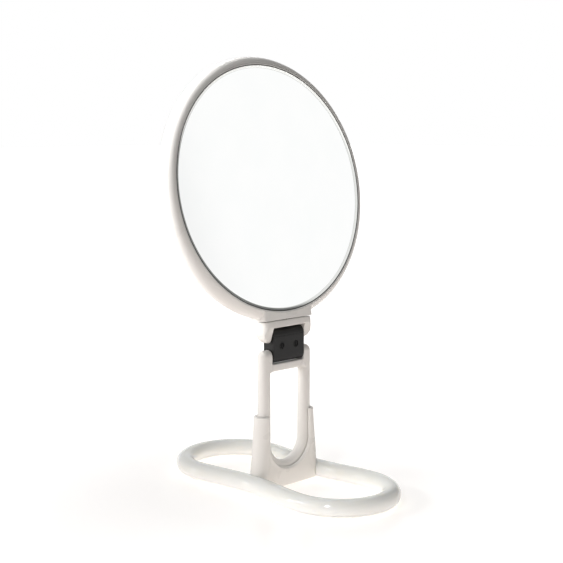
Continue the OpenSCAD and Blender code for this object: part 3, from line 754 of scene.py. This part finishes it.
# Swivel
# A turned brass pin with a flat flange, its acetal bush, a washer and a screw
# from below that keeps the head on the fork.
turned_brass = finish("turned_brass", dark=(0.55, 0.42, 0.20), light=(0.66, 0.50, 0.26),
                      roughness=(0.25, 0.35), grain=1500, grain_height=0.000004, metallic=1.0)
dress(turned_brass, "swivel_pin")
black_acetal = finish("black_acetal", dark=(0.014, 0.014, 0.014), light=(0.022, 0.022, 0.022),
                      roughness=(0.4, 0.55), grain=1200, grain_height=0.00001)
dress(black_acetal, "swivel_bush")
dress(zinc, "swivel_washer")
swivel_screw_face = 0.0056
swivel_screw = grown("swivel_screw_cross", [(0, 0, 0)], [], zinc_screws, zinc,
                     head_frame @ Matrix.Translation((0, 0, swivel_screw_face)) @ point_up,
                     Head=0.0022, Thick=0.001, Shank=0.00125, Length=0.0045, Pitch=0.0005)
part_of(swivel_screw, "head", "steel", "swivel_screw")

# Head frame
# Two white shells that meet on the middle plane of the rim and of the neck,
# with two screws through the neck from the back.
satin_white = finish("satin_white_plastic", dark=(0.80, 0.785, 0.755),
                     light=(0.825, 0.81, 0.78), roughness=(0.26, 0.33),
                     grain=120, grain_height=0.000008)
dress(satin_white, "frame_front", "frame_rear")
head_centre = 0.0894
mirror_frame = (head_frame @ Matrix.Translation((0, 0, head_centre))
                @ Matrix.Rotation(math.pi / 2, 4, "X"))
rear_frame = mirror_frame @ Matrix.Rotation(math.pi, 4, "Y")
neck_screw_x = 0.014
neck_screw_drop = 0.0777
neck_screw_face = 0.00635
neck_screw_pair = grown("neck_screw_pair",
                        [(sx * neck_screw_x, -neck_screw_drop, 0) for sx in (-1, 1)],
                        [], zinc_screws, zinc,
                        rear_frame @ Matrix.Translation((0, 0, neck_screw_face)),
                        Thick=0.0011, Length=0.0104, **small_screw)
part_of(neck_screw_pair, "head", "steel", "neck_screws")

# Carrier and foam rings
# A ribbed disc of black acetal inside the head that both glasses rest on, each
# with a ring of grey foam between.
dress(black_acetal, "mirror_carrier")
dress(grey_foam, "front_foam_ring", "rear_foam_ring")


# Mirror glasses
# Glass silvered on its back: hollow on the magnifying face, flat on the plain
# one. The gloss is broken by the faintest haze.
def revolved(name, outline, steps, place, materials, zones=()):
    """An outline of (radius, height) turned round the axis.

    Each number in zones is the point of the outline where the next material starts.
    """
    mesh = bmesh.new()
    poles = {j: mesh.verts.new((0, 0, z)) for j, (r, z) in enumerate(outline) if r == 0}
    rows = []
    for k in range(steps):
        turn = 2 * math.pi * k / steps
        rows.append([poles[j] if r == 0 else
                     mesh.verts.new((r * math.cos(turn), r * math.sin(turn), z))
                     for j, (r, z) in enumerate(outline)])
    for k in range(steps):
        here, beside = rows[k], rows[(k + 1) % steps]
        for j in range(len(outline)):
            after = (j + 1) % len(outline)
            corners = list(dict.fromkeys((here[j], beside[j], beside[after], here[after])))
            if len(corners) > 2:
                mesh.faces.new(corners).material_index = sum(j >= start for start in zones)
    bmesh.ops.recalc_face_normals(mesh, faces=mesh.faces)
    data = bpy.data.meshes.new(name)
    mesh.to_mesh(data)
    mesh.free()
    data.transform(place)
    for material in materials:
        data.materials.append(material)
    piece = bpy.data.objects.new(name, data)
    scene.collection.objects.link(piece)
    shade(piece)
    return piece


silver = finish("silvered_glass", dark=(0.97, 0.98, 0.975), light=(0.985, 0.99, 0.985),
                roughness=(0.004, 0.012), grain=20, grain_height=0.0, metallic=1.0)
dress(silver, "plain_mirror")
glass_radius = 0.0740
glass_edge = 0.0055
glass_thickness = 0.002
glass_hollow = 0.85
glass_rows = 24


def sag(radius):
    """How far the hollow glass has risen from its middle at a radius."""
    return glass_hollow - math.sqrt(glass_hollow ** 2 - radius ** 2)


radii = [glass_radius * k / glass_rows for k in range(glass_rows + 1)]
hollow_face = [(r, glass_edge - sag(glass_radius) + sag(r)) for r in radii]
hollow_back = [(r, z - glass_thickness) for r, z in reversed(hollow_face)]
hollow_glass = revolved("hollow_glass", hollow_face + hollow_back, steps=192,
                        place=mirror_frame, materials=(silver,))
part_of(hollow_glass, "head", "mirror", "magnifying_mirror")

# Trim rings
# A pale satin ring holds each glass in the frame: a bead outside, a fine groove painted near
# black for the shade that lies in it, and a bright hollow bevel that runs down to the glass.
pale_trim = finish("pale_satin_trim", dark=(0.66, 0.66, 0.645), light=(0.72, 0.72, 0.70),
                   roughness=(0.22, 0.3), grain=300, grain_height=0.000004)
# Painted shade: the groove is painted near black for the shade that lies in it.
groove_shade = finish("painted_groove_shade", dark=(0.035, 0.034, 0.032), light=(0.05, 0.049, 0.046),
                     roughness=(0.5, 0.6), grain=900, grain_height=0.000004)
edge_bevel = finish("bevelled_glass_edge", dark=(0.76, 0.77, 0.75), light=(0.80, 0.81, 0.79),
                    roughness=(0.10, 0.16), grain=300, grain_height=0.0, metallic=1.0)
trim_bore, trim_outer, trim_back = 0.07405, 0.07615, 0.0035
bead_top, bead_outer_round, bead_inner_round = 0.0065, 0.0002, 0.0003
groove_outer, groove_inner, groove_floor = 0.0753, 0.0748, 0.0059
glass_face = 0.00552
bevel_start, bevel_width, bevel_rise = 0.0732, 0.0015, 0.00065
bevel_straight = 0.12
bevel_steps = 10


def bevel_point(share):
    """A point of the hollow bevel, from its foot on the glass at 0 to its rim at 1."""
    climb = bevel_straight * share + (1 - bevel_straight) * share ** 2
    return bevel_start + bevel_width * share, glass_face + bevel_rise * climb


bead = ([(bevel_start, glass_edge), (trim_bore, glass_edge), (trim_bore, trim_back),
         (trim_outer, trim_back)]
        + arc((trim_outer - bead_outer_round, bead_top - bead_outer_round),
              bead_outer_round, 0, 90, steps=4)
        + arc((groove_outer + bead_inner_round, bead_top - bead_inner_round),
              bead_inner_round, 90, 180, steps=5))
groove = [(groove_outer, groove_floor), (groove_inner, groove_floor)]
bevel = [bevel_point(k / bevel_steps) for k in range(bevel_steps, -1, -1)]
for side, place, node in (("front", mirror_frame, "front_trim_ring"),
                          ("rear", rear_frame, "rear_trim_ring")):
    ring = revolved(f"{side}_glass_trim", bead + groove + bevel, steps=256, place=place,
                    materials=(pale_trim, groove_shade, edge_bevel),
                    zones=(len(bead) - 1, len(bead) + len(groove)))
    part_of(ring, "head", "trim", node)
